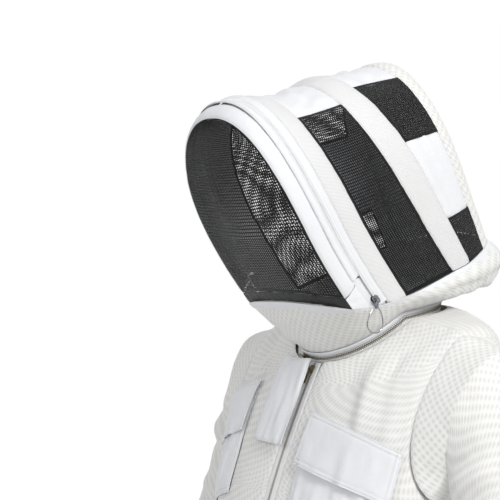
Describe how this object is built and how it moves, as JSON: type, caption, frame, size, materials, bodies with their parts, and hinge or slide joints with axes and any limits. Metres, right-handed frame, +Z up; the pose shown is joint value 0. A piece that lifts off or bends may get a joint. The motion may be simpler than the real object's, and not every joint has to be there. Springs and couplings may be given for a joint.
{
  "type": "beekeeping suit",
  "caption": "One-piece white ventilated coverall with a zip-on fencing hood, black mesh face veil and side windows, chest pockets and front zip.",
  "frame": {"origin": "middle of the wearer's neck base, level with the shoulder tops", "axes": "+Z up, the wearer faces -Y, +X is the wearer's left"},
  "size_m": [0.8618, 0.5138, 1.8002],
  "materials": {
    "ventilated_cloth": "warm white three-layer mesh cloth with rows of dimples",
    "cotton": "plain woven poly-cotton, cool white",
    "veil_mesh": "open black see-through mesh",
    "brass_zip": "dark metal teeth on a white tape",
    "coil_zip": "white nylon coil on a white tape",
    "brass_fitting": "worn dark brass",
    "chrome_fitting": "bright plated steel",
    "hoop_wire": "sprung steel wire",
    "elastic": "gathered cloth over elastic"
  },
  "bodies": {
    "suit": {"front_panel_left": "ventilated_cloth", "front_panel_right": "ventilated_cloth", "back_panel": "ventilated_cloth", "waist_elastic": "cotton", "seat_panel": "ventilated_cloth", "sleeve_front_left": "ventilated_cloth", "sleeve_front_right": "ventilated_cloth", "sleeve_back_left": "ventilated_cloth", "sleeve_back_right": "ventilated_cloth", "cuff_left": "elastic", "cuff_right": "elastic", "leg_front_left": "ventilated_cloth", "leg_front_right": "ventilated_cloth", "leg_back_left": "ventilated_cloth", "leg_back_right": "ventilated_cloth", "ankle_band_left": "elastic", "ankle_band_right": "elastic", "front_zip_left": "brass_zip", "front_zip_right": "brass_zip", "collar_zip_lower": "brass_zip", "chest_pocket_left": "cotton", "chest_pocket_right": "cotton"},
    "hood": {"hood_collar": "ventilated_cloth", "collar_zip_upper": "brass_zip", "veil_hem": "veil_mesh", "band_corner_left": "cotton", "band_corner_right": "cotton", "band_front_rear": "ventilated_cloth", "arch_zip_rear": "coil_zip", "window_side_left": "veil_mesh", "window_side_right": "veil_mesh", "top_panel_front": "ventilated_cloth", "band_middle": "ventilated_cloth", "window_upper_left": "veil_mesh", "window_upper_right": "veil_mesh", "side_panel_left": "cotton", "side_panel_right": "cotton", "window_lower_left": "veil_mesh", "window_lower_right": "veil_mesh", "top_panel_rear": "ventilated_cloth", "band_rear": "ventilated_cloth", "hood_back_panel": "ventilated_cloth", "hoop_middle": "hoop_wire", "hoop_rear": "hoop_wire"},
    "veil": {"face_veil": "veil_mesh", "band_front": "cotton", "arch_zip_front": "coil_zip", "hoop_front": "hoop_wire"},
    "front_slider": {"front_zip_slider": "brass_fitting"},
    "front_pull": {"front_zip_pull": "brass_fitting"},
    "collar_slider": {"collar_zip_slider": "brass_fitting"},
    "collar_pull": {"collar_zip_pull": "brass_fitting"},
    "arch_slider": {"arch_zip_slider": "chrome_fitting"},
    "arch_link": {"arch_zip_link": "chrome_fitting"},
    "arch_ring": {"arch_zip_ring": "chrome_fitting"},
    "flap_left": {"chest_flap_left": "cotton"},
    "flap_right": {"chest_flap_right": "cotton"},
    "throat": {"throat_flap": "cotton"}
  },
  "joints": [
    {"name": "hood_fold_back", "type": "hinge", "parent": "suit", "child": "hood", "pos_m": [0, 0.10746, 0.01738], "axis": [-1, 0, 0], "range_deg": [0, 80]},
    {"name": "veil_open", "type": "hinge", "parent": "hood", "child": "veil", "pos_m": [0, -0.14571, -0.01139], "axis": [1, 0, 0], "range_deg": [0, 70]},
    {"name": "front_zip_open", "type": "hinge", "parent": "suit", "child": "front_slider", "pos_m": [0, 1.3215, -0.6], "axis": [1, 0, 0], "range_deg": [0, 22.3]},
    {"name": "front_pull_swing", "type": "hinge", "parent": "front_slider", "child": "front_pull", "pos_m": [0, -0.09798, -0.10291], "axis": [-1, 0, 0], "range_deg": [0, 12]},
    {"name": "collar_zip_open", "type": "hinge", "parent": "suit", "child": "collar_slider", "pos_m": [0, -0.0144, -0.0169], "axis": [0, 0.6896, -0.7242], "range_deg": [0, 62]},
    {"name": "collar_pull_swing", "type": "hinge", "parent": "collar_slider", "child": "collar_pull", "pos_m": [-0.03137, -0.08871, -0.08766], "axis": [0, -0.6896, 0.7242], "range_deg": [0, 30]},
    {"name": "arch_zip_open", "type": "hinge", "parent": "hood", "child": "arch_slider", "pos_m": [0.1355, 0.45473, 0.61412], "axis": [-1, 0, 0], "range_deg": [0, 8.5]},
    {"name": "arch_link_swing", "type": "hinge", "parent": "arch_slider", "child": "arch_link", "pos_m": [0.1411, -0.09611, 0.00235], "axis": [0, -1, 0], "range_deg": [0, 100]},
    {"name": "arch_ring_swing", "type": "hinge", "parent": "arch_link", "child": "arch_ring", "pos_m": [0.1411, -0.09611, -0.00845], "axis": [0, -1, 0], "range_deg": [0, 60]},
    {"name": "chest_flap_left_lift", "type": "hinge", "parent": "suit", "child": "flap_left", "pos_m": [0.13634, -0.11932, -0.17957], "axis": [-0.9588, -0.1761, 0.2229], "range_deg": [0, 110]},
    {"name": "chest_flap_right_lift", "type": "hinge", "parent": "suit", "child": "flap_right", "pos_m": [-0.16859, -0.10085, -0.1386], "axis": [-0.9508, 0.2164, -0.2216], "range_deg": [0, 110]},
    {"name": "throat_flap_open", "type": "hinge", "parent": "suit", "child": "throat", "pos_m": [-0.082, -0.11309, -0.14977], "axis": [0, -0.3355, -0.942], "range_deg": [0, 95]}
  ]
}
